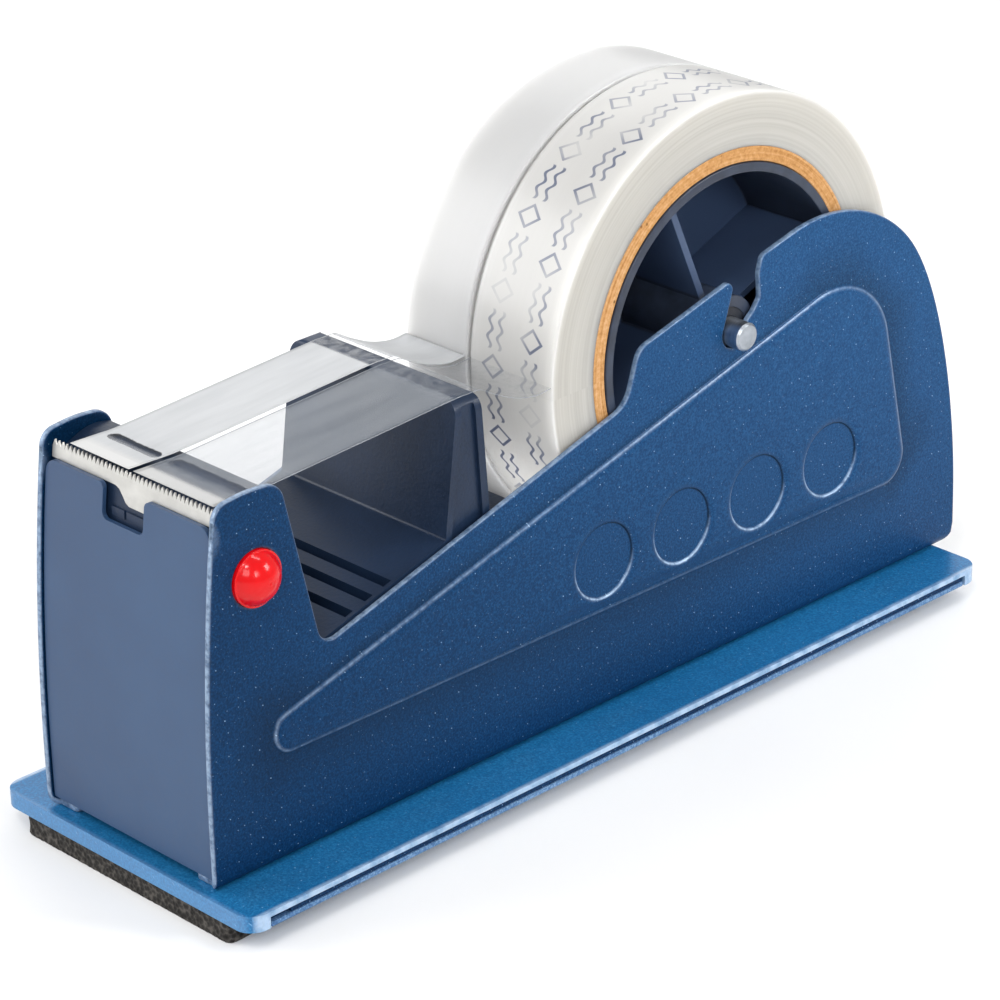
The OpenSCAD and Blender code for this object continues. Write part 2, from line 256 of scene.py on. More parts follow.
def satin_plastic(name, dark, light, scale, rough, bump, coat=0.0, spec=0.5):
    m = Mat(name)
    cloud = m.noise(22, 3.0, 0.55)
    grain = m.noise(scale, 2.0, 0.55)
    m.color(m.ramp(m.math("ADD", m.math("MULTIPLY", cloud, 0.75), m.math("MULTIPLY", grain, 0.25)),
                   [(0.36, lin(dark)), (0.64, lin(light))]))
    m.rough(m.range(grain, 0.3, 0.7, rough[0], rough[1]))
    m.val(Coat_Weight=coat, Coat_Roughness=0.25, Specular_IOR_Level=spec)
    m.normal(m.bump(grain, bump, 0.0002))
    return m.m


def brushed(name, dark, light, stretch, rough, metal=1.0):
    m = Mat(name)
    lines = m.noise(1.0, 3.0, 0.6, m.mapping(stretch))
    spots = m.noise(300, 3.0, 0.6)
    m.color(m.ramp(m.math("ADD", m.math("MULTIPLY", lines, 0.6), m.math("MULTIPLY", spots, 0.4)),
                   [(0.3, lin(dark)), (0.7, lin(light))]))
    m.rough(m.range(lines, 0.3, 0.7, rough[0], rough[1]))
    m.val(Metallic=metal)
    m.normal(m.bump(lines, 0.12, 0.0001))
    return m.m


def red_plastic():
    m = Mat("red_plastic")
    cloud = m.noise(90, 2.0, 0.5)
    m.color(m.ramp(cloud, [(0.35, lin("cc0004")), (0.65, lin("d80008"))]))
    m.rough(m.range(m.noise(420, 2.0, 0.5), 0.3, 0.7, 0.16, 0.24))
    m.val(Coat_Weight=0.3, Coat_Roughness=0.05, Specular_IOR_Level=0.2)
    m.normal(m.bump(m.noise(160, 1.0, 0.4), 0.05, 0.0003))
    return m.m


def foam():
    m = Mat("foam")
    cell = m.voronoi(900)
    grain = m.noise(1300, 3.0, 0.65)
    tone = m.math("ADD", m.math("MULTIPLY", cell.outputs["Distance"], 0.6), m.math("MULTIPLY", grain, 0.5))
    m.color(m.ramp(tone, [(0.3, lin("161412")), (0.55, lin("2c2a28")), (0.78, lin("524e4a"))]))
    m.rough(m.range(grain, 0.3, 0.7, 0.8, 0.95))
    m.val(Specular_IOR_Level=0.25)
    m.normal(m.bump(tone, 0.7, 0.0006))
    return m.m


def board():
    m = Mat("core_board")
    x, r, a = m.polar()
    swirl = m.combine(m.math("MULTIPLY", r, 900.0), m.math("MULTIPLY", a, 34.0), m.math("MULTIPLY", x, 160.0))
    fibre = m.noise(1.0, 4.0, 0.65, swirl)
    layer = m.noise(1.0, 1.0, 0.4, m.combine(m.math("MULTIPLY", r, 2600.0), m.math("MULTIPLY", a, 1.2), m.math("MULTIPLY", x, 20.0)))
    tone = m.math("ADD", m.math("MULTIPLY", fibre, 0.6), m.math("MULTIPLY", layer, 0.4))
    base = m.ramp(tone, [(0.32, lin("9e6d38")), (0.5, lin("bc8b56")), (0.68, lin("cea57a"))])
    specks = m.range(m.voronoi(430).outputs["Distance"], 0.10, 0.2, 1.0, 0.0)
    keep = m.range(m.noise(190, 2.0, 0.6), 0.58, 0.66, 0.0, 1.0)
    m.color(m.mix(m.math("MULTIPLY", specks, keep), base, lin("6e4a24")))
    m.rough(m.range(fibre, 0.3, 0.7, 0.72, 0.92))
    m.val(Specular_IOR_Level=0.25)
    m.normal(m.bump(tone, 0.5, 0.0004))
    return m.m


def wound(name, outer_dark, outer_light, side_dark, side_light, band, rough=(0.29, 0.38), marks=False):
    """Wound film: fine rings on the flat sides, a smooth outside with faint lengthwise lines."""
    m = Mat(name)
    x, r, a = m.polar()
    rings = m.noise(1.0, 2.0, 0.5, m.combine(m.math("MULTIPLY", r, 1700.0), m.math("MULTIPLY", a, 0.5), 0.0))
    veil = m.noise(1.0, 1.0, 0.5, m.combine(m.math("MULTIPLY", x, 45.0), m.math("MULTIPLY", a, 1.5), 0.0))
    lines = m.noise(1.0, 2.0, 0.6, m.combine(m.math("MULTIPLY", x, 1500.0), m.math("MULTIPLY", a, 0.6), 0.0))
    half = (band[1] - band[0]) / 2
    off = m.math("SUBTRACT", x, (band[0] + band[1]) / 2 * MM)
    edge = m.range(m.math("ABSOLUTE", off), (half - 3.4) * MM, (half - 0.3) * MM, 0.0, 1.0, True)
    tone = m.math("ADD", m.math("MULTIPLY", veil, 0.8), m.math("MULTIPLY", lines, m.range(edge, 0.0, 1.0, 0.1, 0.45)))
    outer = m.ramp(tone, [(0.28, lin(outer_dark)), (0.72, lin(outer_light))])
    side = m.ramp(rings, [(0.3, lin(side_dark)), (0.7, lin(side_light))])
    at_side = m.range(r, (ROLL_R - 0.9) * MM, (ROLL_R - 0.35) * MM, 1.0, 0.0)
    if marks:
        # printed lozenges with two wavy strokes each, in two staggered rows
        pitch = 2 * math.pi * ROLL_R / 20
        arc = m.math("MULTIPLY", a, ROLL_R)
        for row, shift in ((-5.6, 0.0), (5.4, 0.5)):
            cell = m.math("FRACT", m.math("ADD", m.math("DIVIDE", arc, pitch), shift))
            s = m.math("MULTIPLY", m.math("SUBTRACT", cell, 0.5), pitch)
            u = m.math("SUBTRACT", m.math("DIVIDE", off, MM), row)
            d = m.math("ADD", m.math("MULTIPLY", m.math("ABSOLUTE", u), 0.85), m.math("ABSOLUTE", m.math("ADD", s, -5.6)))
            ink = m.math("MULTIPLY", m.range(d, 2.9, 3.05, 1.0, 0.0), m.range(d, 2.05, 2.2, 0.0, 1.0))
            wave = m.math("MULTIPLY", m.math("SINE", m.math("MULTIPLY", s, 1.7)), 0.6)
            run = m.math("MULTIPLY", m.range(s, -7.2, -6.9, 0.0, 1.0), m.range(s, 1.5, 1.8, 1.0, 0.0))
            for lane in (-1.5, 1.5):
                w = m.math("ABSOLUTE", m.math("SUBTRACT", m.math("SUBTRACT", u, lane), wave))
                ink = m.math("MAXIMUM", ink, m.math("MULTIPLY", run, m.range(w, 0.36, 0.5, 1.0, 0.0)))
            fade = m.range(m.noise(1.0, 1.0, 0.5, m.combine(m.math("MULTIPLY", x, 60.0), m.math("MULTIPLY", a, 3.4), 3.0)), 0.36, 0.62, 0.12, 0.8)
            outer = m.mix(m.math("MULTIPLY", ink, fade), outer, lin("2c3f66"))
    m.color(m.mix(at_side, outer, side))
    m.rough(m.math("ADD", m.range(veil, 0.3, 0.7, rough[0], rough[1]), m.math("MULTIPLY", at_side, 0.35)))
    m.link(m.range(at_side, 0.0, 1.0, 0.12, 0.0), m.p.inputs["Coat Weight"])
    m.val(Coat_Roughness=0.16, Subsurface_Weight=0.8, Subsurface_Scale=0.012)
    m.p.inputs["Subsurface Radius"].default_value = (1.0, 0.97, 0.92)
    m.normal(m.bump(rings, 0.03, 0.00006))
    return m.m


def hub_plastic():
    """Dark moulding, painted lighter on the web and ribs as painted light and darker on the shell and the boss as
    painted shade.
    """
    m = Mat("hub_plastic")
    x, r, a = m.polar()
    grain = m.noise(260, 2.0, 0.5)
    web = m.ramp(m.noise(14, 1.0, 0.5), [(0.3, lin("3b4c69")), (0.7, lin("4b5e80"))])
    shell = m.ramp(grain, [(0.3, lin("262d3b")), (0.7, lin("333c4d"))])
    # painted light: the web and ribs between about 9 and 35.5 mm radius get the lighter colours; the shell rim and the
    # boss keep the darker ones as painted shade
    part = m.math("MULTIPLY", m.range(r, 0.0352, 0.0357, 1.0, 0.0), m.range(r, 0.0084, 0.0092, 0.0, 1.0))
    m.color(m.mix(part, shell, web))
    m.rough(m.range(grain, 0.3, 0.7, 0.3, 0.4))
    m.val(Specular_IOR_Level=0.4)
    m.normal(m.bump(grain, 0.05, 0.0002))
    return m.m


def strip(name, tint, alpha, rough, x0, x1, patches, hazy, lap):
    """Film strip. patches: (x centre, y centre, half width, half depth, alpha) in mm where it lies wetted on the part below."""
    m = Mat(name)
    x, y, z = m.xyz()
    veil = m.noise(1.0, 3.0, 0.6, m.mapping((160, 24, 60)))
    film = m.ramp(veil, [(0.3, lin(tint[0])), (0.7, lin(tint[1]))])
    m.color(m.mix(m.range(y, -0.1012, -0.1040, 0.0, 1.0, True), film, lin("cfcfce")))
    a = m.range(veil, 0.3, 0.7, alpha[0], alpha[1])
    wob = m.math("MULTIPLY", m.math("SUBTRACT", m.noise(260, 3.0, 0.7), 0.5), 0.9)
    for cx, cy, hx, hy, low in patches:
        ex = m.math("MAXIMUM", m.math("SUBTRACT", m.math("ABSOLUTE", m.math("SUBTRACT", x, cx * MM)), (hx - hy) * MM), 0.0)
        ey = m.math("SUBTRACT", y, cy * MM)
        d = m.math("SQRT", m.math("ADD", m.math("MULTIPLY", ex, ex), m.math("MULTIPLY", ey, ey)))
        d = m.math("ADD", m.math("DIVIDE", d, hy * MM), wob)
        inside = m.range(d, 0.82, 1.02, 1.0, 0.0, True)
        lens = m.range(m.math("ADD", m.math("DIVIDE", ey, hy * MM), m.math("MULTIPLY", wob, 0.8)), -1.0, 0.0, 0.3, low)
        a = m.math("ADD", m.math("MULTIPLY", a, m.math("SUBTRACT", 1.0, inside)), m.math("MULTIPLY", inside, lens))
    a = m.math("MAXIMUM", a, m.range(y, -0.1012, -0.1040, 0.0, lap, True))
    for y0, y1, lo, hi in hazy:
        band = m.math("MULTIPLY", m.range(y, (y0 - 0.4) * MM, (y0 + 0.4) * MM, 0.0, 1.0), m.range(y, (y1 - 0.4) * MM, (y1 + 0.4) * MM, 1.0, 0.0))
        specks = m.range(m.noise(420, 2.0, 0.6), 0.4, 0.64, lo, hi)
        a = m.math("ADD", m.math("MULTIPLY", a, m.math("SUBTRACT", 1.0, band)), m.math("MULTIPLY", band, specks))
    side = m.math("ABSOLUTE", m.math("SUBTRACT", x, (x0 + x1) / 2 * MM))
    rim = m.range(side, ((x1 - x0) / 2 - 0.35) * MM, ((x1 - x0) / 2 - 0.1) * MM, 0.0, 0.75, True)
    a = m.math("MINIMUM", m.math("MAXIMUM", a, rim), 1.0)
    m.link(a, m.p.inputs["Alpha"])
    m.rough(m.range(veil, 0.3, 0.7, rough[0], rough[1]))
    m.val(Specular_IOR_Level=0.28)
    m.normal(m.bump(m.noise(1.0, 2.0, 0.5, m.mapping((220, 18, 60))), 0.06, 0.0006))
    return m.m


MATS = {
    "blue": blue_paint("blue_paint", "022443", "032e54", "0c3c66", painted_light_and_gloss=True),
    # deck_paint is a lighter, more cyan copy of the blue paint: painted light on the upward-facing deck
    "deck": blue_paint("deck_paint", "125d90", "1c6fa6", "3085bb", (0.3, 0.42), 0.5, lip=True),
    # lower_paint is a lighter copy of the blue paint: painted light on the bottom sheet's edge
    "lip": blue_paint("lower_paint", "3d5f88", "587ca6", "86a5c6", (0.4, 0.55)),
    "dark": blue_paint("ballast_paint", "0a2440", "103054", "1a436c", (0.4, 0.55)),
    "front": satin_plastic("grey_blue_plastic", "273f60", "2e496b", 700, (0.36, 0.46), 0.05, 0.0, 0.42),
    "slate": satin_plastic("slate_plastic", "132135", "1f304a", 1300, (0.3, 0.46), 0.2, 0.0, 0.28),
    "hub": hub_plastic(),
    "bush": satin_plastic("bush_plastic", "0b0e15", "141924", 500, (0.4, 0.55), 0.1),
    "blade": brushed("blade_steel", "acaba7", "c8c7c3", (40, 900, 200), (0.3, 0.42), 0.6),
    "zinc": brushed("zinc_steel", "8a9099", "cfd5dc", (900, 140, 140), (0.3, 0.44)),
    "red": red_plastic(),
    "foam": foam(),
    "board": board(),
    "wide": wound("clear_tape", "b9b8b6", "c5c4c1", "aba8a2", "b7b5af", WIDE, marks=True),
    "narrow": wound("frosted_tape", "b8b8b8", "c0c0c0", "b4b4b4", "bebebe", NARROW, (0.3, 0.45)),
    "wide_strip": strip("clear_strip", ("8f959d", "a2a7ae"), (0.24, 0.32), (0.10, 0.2), WIDE[0], WIDE[1],
                        [(13.0, -98.4, 11.5, 2.6, 0.03)], [(-41.3, -35.0, 0.04, 0.14), (-34.6, 10.0, 0.05, 0.10)], 0.62),
    "narrow_strip": strip("frosted_strip", ("b9bbbe", "c4c6c8"), (0.80, 0.90), (0.35, 0.5), NARROW[0], NARROW[1],
                          [(-9.6, -98.2, 8.2, 1.7, 0.03)], [(-41.3, -35.0, 0.02, 0.2)], 0.9),
}


def finish_mesh(name, verts, faces, mat, body, replaces=(), smooth=True):
    me = bpy.data.meshes.new(name)
    me.from_pydata([tuple(v) for v in verts], [], [tuple(f) for f in faces])
    bm = bmesh.new()
    bm.from_mesh(me)
    bmesh.ops.recalc_face_normals(bm, faces=bm.faces)
    bm.to_mesh(me)
    bm.free()
    me.validate()
    for p in me.polygons:
        p.use_smooth = smooth
    me.materials.append(mat)
    o = bpy.data.objects.new(name, me)
    scene.collection.objects.link(o)
    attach(o, body)
    if replaces:
        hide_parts(*replaces)
    return o


# ---------------------------------------------------------------- side frame
def corner(a, b, c, r, n):
    a, b, c = (np.array(p, float) for p in (a, b, c))
    if r <= 0:
        return [b]
    u = (a - b) / np.linalg.norm(a - b)
    w = (c - b) / np.linalg.norm(c - b)
    h = math.acos(max(-1, min(1, float(u @ w)))) / 2
    t = r / math.tan(h)
    p, q = b + u * t, b + w * t
    d = (u + w) / np.linalg.norm(u + w)
    m = b + d * (r / math.sin(h))
    a0 = math.atan2(p[1] - m[1], p[0] - m[0])
    a1 = math.atan2(q[1] - m[1], q[0] - m[0])
    da = (a1 - a0 + 3 * math.pi) % (2 * math.pi) - math.pi
    return [m + r * np.array((math.cos(a0 + da * i / n), math.sin(a0 + da * i / n))) for i in range(n + 1)]


def rounded(points, n=10, closed=True):
    k = len(points)
    out = []
    for i, p in enumerate(points):
        if not closed and i in (0, k - 1):
            out.append(np.array(p[:2], float))
            continue
        out += corner(points[(i - 1) % k][:2], p[:2], points[(i + 1) % k][:2], p[2], n)
    return out


def front_y(z):
    return -114 + ((z - 22) ** 2 / 1000 if z > 22 else 0)


def slot_pt(side, s):
    t = math.radians(19)
    hw = 3.55
    return (AX_Y + side * hw * math.cos(t) + s * math.sin(t), AX_Z - side * hw * math.sin(t) + s * math.cos(t))


def curve(a, b, c, d, n=24):
    """Corner points along a cubic curve, without its first point."""
    a, b, c, d = (np.array(p, float) for p in (a, b, c, d))
    out = []
    for i in range(1, n + 1):
        t = i / n
        q = (1 - t) ** 3 * a + 3 * (1 - t) ** 2 * t * b + 3 * (1 - t) * t * t * c + t ** 3 * d
        out.append((float(q[0]), float(q[1]), 0))
    return out


def seg_dist(pts, poly, closed=True):
    """Distance of each point to a polyline."""
    pts = np.asarray(pts, float)
    best = np.full(len(pts), 1e9)
    k = len(poly)
    for i in range(k if closed else k - 1):
        a, b = np.asarray(poly[i], float), np.asarray(poly[(i + 1) % k], float)
        ab = b - a
        L = ab @ ab
        if L < 1e-12:
            continue
        t = np.clip(((pts - a) @ ab) / L, 0, 1)
        d = np.linalg.norm(pts - (a + t[:, None] * ab), axis=1)
        best = np.minimum(best, d)
    return best


def inside(pts, poly):
    pts = np.asarray(pts, float)
    poly = np.asarray(poly, float)
    x, y = pts[:, 0], pts[:, 1]
    res = np.zeros(len(pts), bool)
    j = len(poly) - 1
    for i in range(len(poly)):
        xi, yi, xj, yj = poly[i, 0], poly[i, 1], poly[j, 0], poly[j, 1]
        hit = ((yi > y) != (yj > y)) & (x < (xj - xi) * (y - yi) / (yj - yi + 1e-30) + xi)
        res ^= hit
        j = i
    return res


def inset(poly, s):
    """Offset of a closed polygon to its inner side."""
    p = np.asarray(poly, float)
    area = 0.5 * np.sum(p[:, 0] * np.roll(p[:, 1], -1) - np.roll(p[:, 0], -1) * p[:, 1])
    sgn = 1 if area > 0 else -1
    out = []
    k = len(p)
    for i in range(k):
        e0, e1 = p[i] - p[i - 1], p[(i + 1) % k] - p[i]
        e0, e1 = e0 / (np.linalg.norm(e0) + 1e-12), e1 / (np.linalg.norm(e1) + 1e-12)
        n0, n1 = sgn * np.array((-e0[1], e0[0])), sgn * np.array((-e1[1], e1[0]))
        b = n0 + n1
        b /= np.linalg.norm(b) + 1e-12
        out.append(p[i] + b * (s / max(0.35, float(b @ n0))))
    return out


def thin(poly, gap=0.02):
    out = [np.asarray(poly[0], float)]
    for q in poly[1:]:
        if np.linalg.norm(np.asarray(q, float) - out[-1]) > gap:
            out.append(np.asarray(q, float))
    if np.linalg.norm(out[0] - out[-1]) < gap:
        out.pop()
    return out


BEND = 3.0
V_FLOOR = FX - BEND                      # flat half width of the channel floor
V_SIDE = V_FLOOR + BEND * math.pi / 2    # where the upright side starts
Z_BEND = 14.0
EMB = 0.8


def z_to_v(z):
    return V_SIDE + (z - Z_BEND)


def channel():
    up = [(-114.0, Z_BEND, 0)]
    up += [(front_y(11 + 8 + i * 8.2), 11 + 8 + i * 8.2, 0) for i in range(10)]
    up += [(-108.9, 96.0, 4), (-100, 96.9, 30), (-91.4, 96.2, 5), (-82.4, 55.8, 4), (6.6, 81.3, 7), (10.6, 93.1, 5)]
    up += [(*slot_pt(-1, 12.4), 1.8), (*slot_pt(-1, 0.6), 0)]
    for i in range(1, 20):
        a = math.radians(151.4 + 199.2 * i / 20)
        up.append((AX_Y + 3.6 * math.cos(a), AX_Z + 3.6 * math.sin(a), 0))
    up += [(*slot_pt(1, 0.6), 0), (*slot_pt(1, 3), 0), (46.5, 91.2, 1.2), (48.6, 93.8, 1.8), (48.2, 99.6, 4), (*slot_pt(1, 17.6), 2.2), (57.5, 105.45, 0)]
    up += curve((57.5, 105.45), (73.1, 109.9), (88.7, 104.8), (98.4, 93.9))
    up += curve((98.4, 93.9), (110.9, 79.9), (116.4, 45.0), (116.4, 24.0))
    up += [(116.4, 16.0, 0)]
    upper = rounded(up, 10, closed=False)
    right = [np.array((p[0], z_to_v(p[1]))) for p in upper]

    def rear_low():
        out = []
        for i in range(1, 9):
            a = BEND * math.pi / 2 * i / 8
            z = Z_BEND - BEND * math.sin(a / BEND)
            out.append(np.array((111.9 + math.sqrt(max(0.0, 4.5 ** 2 - (15.5 - z) ** 2)), V_SIDE - a)))
        return out

    def front_low():
        out = []
        for i in range(8, 0, -1):
            a = BEND * math.pi / 2 * i / 8
            z = Z_BEND - BEND * math.sin(a / BEND)
            out.append(np.array((-112.5 - (math.sqrt(max(0.0, 1.5 ** 2 - (12.5 - z) ** 2)) if z < 12.5 else 1.5), V_SIDE - a)))
        return out

    lip = rounded([(-104.4, 0.0, 0), (-104.4, 18.6, 1.0), (-112.5, 19.6, 1.2), (-112.5, V_FLOOR - 0.2, 0)], 5, closed=False)
    half = lip[1:-1] + front_low() + right + rear_low()
    half = thin(half)
    outline = half + [np.array((p[0], -p[1])) for p in reversed(half)]
    outline = thin(outline)

    field = rounded([(-97, z_to_v(35.8), 5), (-97, z_to_v(44.4), 4.5), (87.4, z_to_v(93.7), 19.5), (98.8, z_to_v(34), 7)], 14)
    field = [np.asarray(p) for p in thin(field)]
    hole = [np.array((-98.9 + 6.26 * math.cos(2 * math.pi * i / 56), z_to_v(77.6) + 6.26 * math.sin(2 * math.pi * i / 56))) for i in range(56)]
    dims = [(-1.65 + 24.4 * i, z_to_v(47.3)) for i in range(4)]

    verts, edges = [], []

    def ring(poly, closed=True):
        base = len(verts)
        verts.extend([Vector((float(p[0]), float(p[1]))) for p in poly])
        k = len(poly)
        edges.extend([(base + i, base + (i + 1) % k) for i in range(k if closed else k - 1)])

    ring(outline)
    for s in (0.06, 0.14, 0.25, 0.36, 0.7):
        ring(inset(outline, s))
    for sg in (1, -1):
        def side(poly):
            return [np.array((p[0], sg * p[1])) for p in poly]
        ring(side(hole))
        for s in (0.1, 0.25, 0.6):
            ring(side([np.array((-98.9, z_to_v(77.6))) + (p - np.array((-98.9, z_to_v(77.6)))) * (6.26 + s) / 6.26 for p in hole]))
        ring(side(inset(field, -0.35)))
        ring(side(field))
        for s in (0.04, 0.12, 0.25, 0.45, 0.75, 1.1, 1.6, 2.2, 3.0, 4.0, 5.2):
            ring(side(thin(inset(field, s), 0.05)))
        for cy, cv in dims:
            for e in (-0.35, -0.06, 0.0, 0.06, 0.16, 0.32, 0.6, 1.0, 1.5, 2.1, 2.8):
                ring(side([np.array((cy + (8.6 + e) * math.cos(2 * math.pi * i / 64), cv + (8.6 + e) * math.sin(2 * math.pi * i / 64))) for i in range(64)]))
        # bend lines
        for i in range(9):
            v = V_FLOOR + BEND * math.pi / 2 * i / 8
            ring([np.array((-111.2, sg * v)), np.array((111.2, sg * v))], closed=False)
        # filling points
        for y in np.arange(-108, 112, 7.5):
            for v in np.arange(34, 118, 7.5):
                q = np.array([[y, v]])
                if inside(q, half_poly(half))[0] and seg_dist(q, outline)[0] > 1.5 and seg_dist(q, field)[0] > 6.5:
                    if min(math.hypot(y - c[0], v - c[1]) for c in dims) > 12.5 and math.hypot(y + 98.9, v - z_to_v(77.6)) > 8.5:
                        verts.append(Vector((float(y), float(sg * v))))
    rim_pts = np.array([(y, v) for y in np.arange(-112, 114, 2.4) for v in np.arange(34, 122, 2.4)])
    gap = seg_dist(rim_pts, outline)
    gap = np.where(inside(rim_pts, half_poly(half)) & (seg_dist(rim_pts, hole) > 1.4) & ~inside(rim_pts, hole), gap, -1.0)
    for (y, v), g in zip(rim_pts, gap):
        if 1.2 < g < 5.0 and seg_dist(np.array([[y, v]]), field)[0] > 1.2:
            verts += [Vector((float(y), float(v))), Vector((float(y), float(-v)))]
    v2, e2, f2, *_ = delaunay_2d_cdt(verts, edges, [], 0, 1e-4)
    P = np.array([(p.x, p.y) for p in v2])
    tri = np.array([f for f in f2 if len(f) == 3])
    cen = P[tri].mean(axis=1)
    ok = inside(cen, outline)
    for sg in (1, -1):
        ok &= ~inside(cen, [np.array((p[0], sg * p[1])) for p in hole])
    tri = tri[ok]
    used = np.unique(tri)
    remap = -np.ones(len(P), int)
    remap[used] = np.arange(len(used))
    P, tri = P[used], remap[tri]

    A = np.abs(P[:, 1])
    sgn = np.where(P[:, 1] >= 0, 1.0, -1.0)
    F = np.column_stack((P[:, 0], A))
    s_edge = np.minimum(seg_dist(P, outline), seg_dist(F, hole))
    d_field = seg_dist(F, field)
    d_field[~inside(F, field)] *= -1
    low = np.asarray([(-97, z_to_v(35.8)), (98.8, z_to_v(34))])
    near_low = np.clip((np.abs(F[:, 1] - (low[0, 1] + (F[:, 0] + 97) / 195.8 * (low[1, 1] - low[0, 1]))) - 3.0) / 5.0, 0, 1)
    inner_y = np.clip(np.minimum(F[:, 0] + 93, 92 - F[:, 0]) / 6.0, 0, 1)
    soft = (1 - near_low) * inner_y
    crisp = np.sqrt(np.clip(1 - (1 - np.clip(d_field / 2.2, 0, 1)) ** 2, 0, 1))
    t = np.clip(d_field / 5.2, 0, 1)
    ramp = t * t * (3 - 2 * t)
    h = EMB * (crisp * (1 - soft) + ramp * soft)
    for cy, cv in dims:
        e = np.hypot(F[:, 0] - cy, F[:, 1] - cv) - 8.6
        up_ = np.sqrt(np.clip(1 - (1 - np.clip(e / 2.1, 0, 1)) ** 2, 0, 1))
        h = np.minimum(h, 0.12 + (EMB - 0.12) * up_)
    h[A < V_SIDE + 2] = 0
    tb = np.clip((d_field - 1.3) / 3.5, 0, 1)
    h_in = np.minimum(EMB * 0.9 * tb * tb * (3 - 2 * tb), np.maximum(h - 0.02, 0))
    R = 0.36
    q = np.clip(R - s_edge, 0, R)
    cut = R - np.sqrt(np.clip(R * R - q * q, 0, None))

    x = np.empty(len(P)); z = np.empty(len(P)); nx = np.empty(len(P)); nz = np.empty(len(P))
    flat = A <= V_FLOOR
    bend = (A > V_FLOOR) & (A < V_SIDE)
    upr = A >= V_SIDE
    x[flat], z[flat], nx[flat], nz[flat] = P[flat, 1], 11.0, 0.0, -1.0
    tt = (A[bend] - V_FLOOR) / BEND
    x[bend] = sgn[bend] * (V_FLOOR + BEND * np.sin(tt))
    z[bend] = Z_BEND - BEND * np.cos(tt)
    nx[bend], nz[bend] = sgn[bend] * np.sin(tt), -np.cos(tt)
    x[upr], z[upr], nx[upr], nz[upr] = sgn[upr] * FX, Z_BEND + A[upr] - V_SIDE, sgn[upr], 0.0
    oo = h - cut
    ii = -SHEET + h_in + cut
    outer = np.column_stack((x + nx * oo, P[:, 0], z + nz * oo))
    inner = np.column_stack((x + nx * ii, P[:, 0], z + nz * ii))
    N = len(P)
    V = [pt(*p) for p in outer] + [pt(*p) for p in inner]
    faces = [tuple(f) for f in tri] + [tuple(int(i) + N for i in reversed(f)) for f in tri]
    count = {}
    for f in tri:
        for i in range(3):
            a, b = int(f[i]), int(f[(i + 1) % 3])
            count[(a, b)] = count.get((a, b), 0) + 1
    for (a, b) in list(count):
        if (b, a) not in count:
            faces.append((b, a, a + N, b + N))
    o = finish_mesh("channel_sheet", V, faces, MATS["blue"], "stand", ["frame_channel"])
    # painted highlight on the emboss shoulder and the sheet edges; the coat gloss below is real
    ridge = np.clip(1 - np.abs(d_field - 0.45) / 0.45, 0, 1) * (1 - soft)
    highlight_paint = np.maximum(0.8 * np.clip(1 - s_edge / 0.28, 0, 1), 0.5 * ridge)
    gloss = np.clip(1 - np.abs(d_field - 0.5) / 0.6, 0, 1) ** 0.5 * (1 - soft)
    for cy, cv in dims:
        e = np.hypot(F[:, 0] - cy, F[:, 1] - cv) - 8.6
        gloss = np.maximum(gloss, 0.5 * np.clip(1 - np.abs(e - 0.35) / 0.42, 0, 1))
    rim_gloss = np.clip(1 - s_edge / 0.5, 0, 1) ** 0.5
    gloss = np.maximum(gloss, rim_gloss)
    # painted shade: a dark line just outside the emboss edge
    dark = np.clip(1 - np.abs(d_field + 0.2) / 0.3, 0, 1) * (1 - soft)
    # painted highlight on the lower dimple rims and painted shade on the upper rims
    for cy, cv in dims:
        dy, dv = F[:, 0] - cy, F[:, 1] - cv
        r = np.maximum(np.hypot(dy, dv), 1e-6)
        e = r - 8.6
        low_rim = np.clip((0.3 - dv / r - 0.3 * dy / r) / 0.9, 0, 1)
        highlight_paint = np.maximum(highlight_paint, 1.5 * low_rim * np.clip(1 - np.abs(e - 0.28) / 0.36, 0, 1))
        up_rim = np.clip((dv / r + 0.7 * dy / r) / 0.6, 0, 1)
        dark = np.maximum(dark, up_rim * np.clip(1 - np.abs(e - 0.05) / 0.32, 0, 1))
    # the inner face is darkened away from its edges as painted shade, and its edges get the painted highlight
    dat = o.data.attributes.new("painted_edge_shade", "FLOAT", "POINT")
    dat.data.foreach_set("value", np.concatenate((dark, 0.55 * np.clip((s_edge - 0.3) / 0.4, 0, 1))).astype(np.float32))
    gat = o.data.attributes.new("ridge_gloss", "FLOAT", "POINT")
    gat.data.foreach_set("value", np.concatenate((gloss, rim_gloss)).astype(np.float32))
    att = o.data.attributes.new("painted_edge_highlight", "FLOAT", "POINT")
    att.data.foreach_set("value", np.concatenate((highlight_paint, 0.8 * np.clip(1 - s_edge / 0.28, 0, 1))).astype(np.float32))
    return o


def half_poly(half):
    return [np.array((p[0], p[1])) for p in half] + [np.array((half[-1][0], 0.0)), np.array((half[0][0], 0.0))]


channel_sheet = channel()


# ---------------------------------------------------------------- lathe pieces about the axle
def lathe(name, profile, seg, mat, body, replaces):
    """Closed ring from a loop of (x, r)."""
    k = len(profile)
    V, F = [], []
    for i in range(seg):
        a = 2 * math.pi * i / seg
        for x, r in profile:
            V.append(pt(x, AX_Y + r * math.cos(a), AX_Z + r * math.sin(a)))
    for i in range(seg):
        j = (i + 1) % seg
        for n in range(k):
            m = (n + 1) % k
            F.append((i * k + n, i * k + m, j * k + m, j * k + n))
    return finish_mesh(name, V, F, mat, body, replaces)


